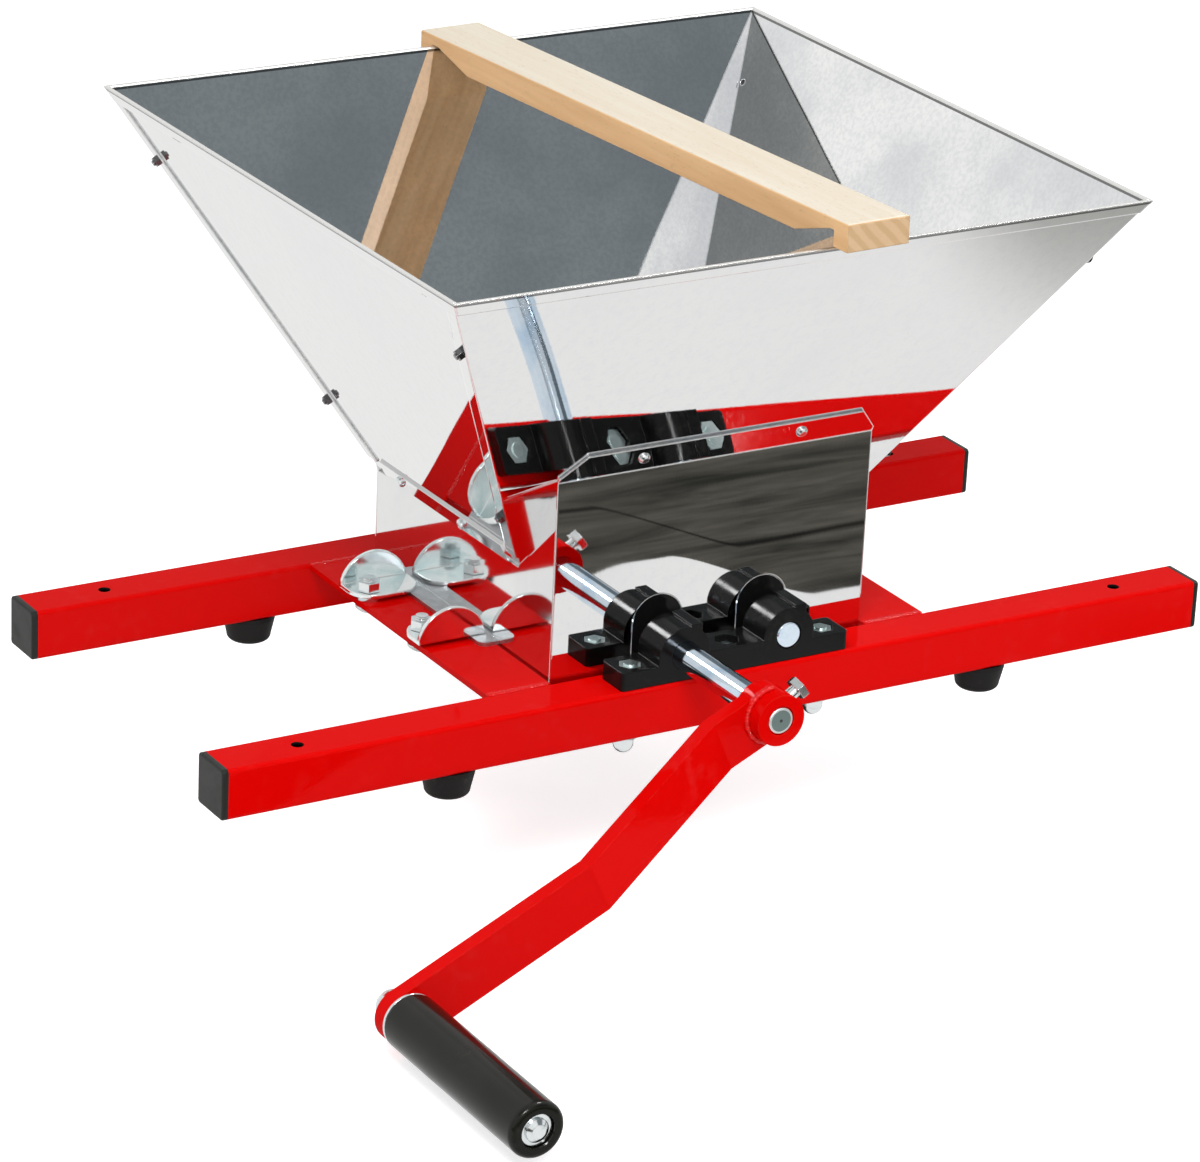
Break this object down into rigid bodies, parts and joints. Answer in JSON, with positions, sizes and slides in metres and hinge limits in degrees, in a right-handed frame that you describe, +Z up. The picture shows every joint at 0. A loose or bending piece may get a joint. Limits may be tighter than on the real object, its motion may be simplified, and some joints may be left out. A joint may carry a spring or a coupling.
{
  "type": "two-shaft hand-cranked fruit mill",
  "caption": "Hand-cranked fruit mill: square sheet-steel hopper over a chamber with two geared bladed shafts, on a red tube frame with a joggled crank, wing clamps and a wooden bar.",
  "frame": {"origin": "centre of the four mounting holes, on the top face of the two rails", "axes": "+X along the rails, +Y away from the crank, +Z up"},
  "size_m": [0.544, 0.5442, 0.334],
  "materials": {
    "red_paint": "gloss",
    "stainless": "polished",
    "zinc": "bright zinc plate",
    "bright_steel": "ground",
    "blade_steel": "satin",
    "gear_steel": "machined",
    "block_plastic": "satin moulding",
    "cap_plastic": "moulded",
    "grip_plastic": "satin",
    "foot_rubber": "matt",
    "beech": "planed, unvarnished"
  },
  "bodies": {
    "frame": {"front_rail": "red_paint", "back_rail": "red_paint", "left_cross_plate": "red_paint", "right_cross_plate": "red_paint", "rail_cap_front_left": "cap_plastic", "rail_cap_front_right": "cap_plastic", "rail_cap_back_left": "cap_plastic", "rail_cap_back_right": "cap_plastic", "foot_front_left": "foot_rubber", "foot_front_right": "foot_rubber", "foot_back_left": "foot_rubber", "foot_back_right": "foot_rubber", "foot_screws": "zinc", "hopper_front_wall": "stainless", "hopper_back_wall": "stainless", "hopper_left_wall": "stainless", "hopper_right_wall": "stainless", "seam_screws": "zinc", "seam_nuts": "zinc", "chamber_front_panel": "stainless", "chamber_back_panel": "stainless", "chamber_left_wall": "stainless", "chamber_right_wall": "stainless", "panel_screws": "zinc", "front_bearing_block": "block_plastic", "back_bearing_block": "block_plastic", "block_bolts": "zinc", "block_nuts": "zinc", "clamp_bolts": "zinc", "clamp_nuts": "zinc", "clamp_washers": "zinc"},
    "drive_rotor": {"drive_shaft": "bright_steel", "drive_blades": "blade_steel", "drive_spacers": "bright_steel", "drive_blade_key": "bright_steel", "drive_gear_key": "bright_steel", "drive_gear": "gear_steel", "drive_gear_ring": "bright_steel", "crank_hub": "red_paint", "crank_arm": "red_paint", "hub_set_bolt": "zinc", "grip_bolt": "zinc", "grip_washers": "zinc", "grip_nut": "zinc"},
    "idler_rotor": {"idler_shaft": "bright_steel", "idler_blades": "blade_steel", "idler_spacers": "bright_steel", "idler_blade_key": "bright_steel", "idler_gear_key": "bright_steel", "idler_gear": "gear_steel", "idler_gear_ring": "bright_steel"},
    "grip": {"crank_grip": "grip_plastic"},
    "bar": {"wooden_bar": "beech"},
    "clamp_left_front": {"clamp_left_front": "zinc"},
    "clamp_left_back": {"clamp_left_back": "zinc"},
    "clamp_right_front": {"clamp_right_front": "zinc"},
    "clamp_right_back": {"clamp_right_back": "zinc"}
  },
  "joints": [
    {"name": "crank_spin", "type": "hinge", "parent": "frame", "child": "drive_rotor", "pos_m": [-0.029, 0, 0.013], "axis": [0, 1, 0], "continuous": true},
    {"name": "idler_spin", "type": "hinge", "parent": "frame", "child": "idler_rotor", "pos_m": [0.029, 0, 0.013], "axis": [0, 1, 0], "continuous": true},
    {"name": "grip_spin", "type": "hinge", "parent": "drive_rotor", "child": "grip", "pos_m": [-0.23383, -0.28, -0.08251], "axis": [0, 1, 0], "continuous": true},
    {"name": "bar_lift", "type": "slide", "parent": "frame", "child": "bar", "axis": [0, 0, 1], "range_m": [0, 0.15]},
    {"name": "clamp_left_front_swing", "type": "hinge", "parent": "frame", "child": "clamp_left_front", "pos_m": [-0.116, -0.014, 0.003], "axis": [0, 0, 1], "range_deg": [-90, 0]},
    {"name": "clamp_left_back_swing", "type": "hinge", "parent": "frame", "child": "clamp_left_back", "pos_m": [-0.116, 0.039, 0.003], "axis": [0, 0, 1], "range_deg": [0, 90]},
    {"name": "clamp_right_front_swing", "type": "hinge", "parent": "frame", "child": "clamp_right_front", "pos_m": [0.116, -0.014, 0.003], "axis": [0, 0, 1], "range_deg": [0, 90]},
    {"name": "clamp_right_back_swing", "type": "hinge", "parent": "frame", "child": "clamp_right_back", "pos_m": [0.116, 0.039, 0.003], "axis": [0, 0, 1], "range_deg": [-90, 0]}
  ],
  "couplings": [
    {"joint": "idler_spin", "follows": "crank_spin", "ratio": -1}
  ]
}
